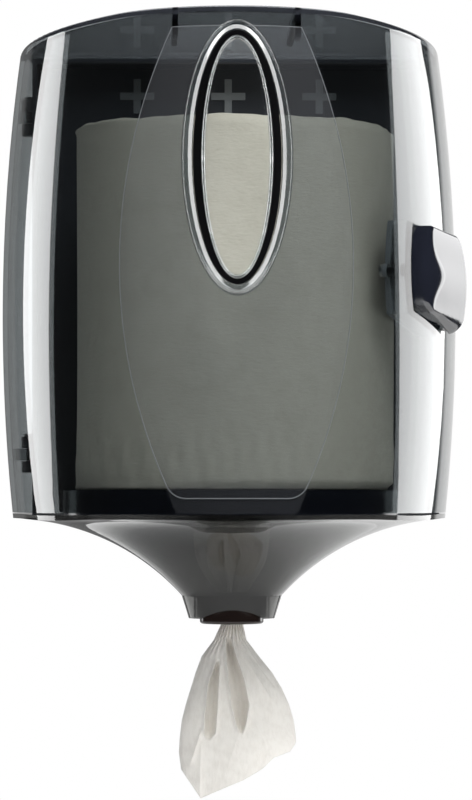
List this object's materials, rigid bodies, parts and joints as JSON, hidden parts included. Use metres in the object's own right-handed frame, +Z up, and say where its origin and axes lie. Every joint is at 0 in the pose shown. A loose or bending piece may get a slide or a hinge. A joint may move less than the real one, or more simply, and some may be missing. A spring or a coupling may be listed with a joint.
{
  "type": "centre pull towel dispenser",
  "caption": "Wall-mounted barrel-shaped smoke dispenser whose hinged cover encloses a paper roll, with an oval window, a side press latch and a funnel nozzle for pulling towels down.",
  "frame": {"origin": "middle of the four wall screw holes on the wall plane, at mid height of the case", "axes": "+X to the viewer's right, +Y into the wall, +Z up"},
  "size_m": [0.236, 0.2239, 0.3804],
  "materials": {
    "black_plastic": "satin",
    "smoke_plastic": "gloss, see-through smoke tint",
    "brown_black_plastic": "gloss",
    "navy_plastic": "gloss",
    "grey_plastic": "satin",
    "clear_plastic": "clear gloss",
    "black_rubber": "matte",
    "towel_paper": "soft matte tissue",
    "steel": "zinc plated"
  },
  "bodies": {
    "chassis": {"back_plate": "black_plastic", "slot_plugs": "grey_plastic", "hinge_pins": "steel", "funnel_pan": "smoke_plastic", "pan_screws": "steel", "nozzle_insert": "brown_black_plastic", "nozzle_ring": "black_plastic", "roll_shelf": "black_plastic", "shelf_screws": "steel", "latch_keeper": "grey_plastic", "keeper_screws": "steel", "towel_roll": "towel_paper", "towel_web": "towel_paper", "towel_tail": "towel_paper"},
    "cover": {"front_cover": "smoke_plastic", "window_ring": "smoke_plastic", "window_gasket": "black_rubber", "window_lens": "clear_plastic", "latch_bridge": "grey_plastic", "bridge_screws": "steel", "latch_spring": "steel"},
    "latch": {"latch_button": "navy_plastic", "latch_arm": "grey_plastic", "arm_screw": "steel"}
  },
  "joints": [
    {"name": "cover_swing", "type": "hinge", "parent": "chassis", "child": "cover", "pos_m": [-0.104, -0.015, 0], "axis": [0, 0, -1], "range_deg": [0, 90]},
    {"name": "latch_press", "type": "slide", "parent": "cover", "child": "latch", "axis": [-0.9318, 0.3631, 0], "range_m": [0, 0.0035], "stiffness_N_per_m": 400, "springref_m": -0.004, "deforming": ["latch_spring"]}
  ]
}
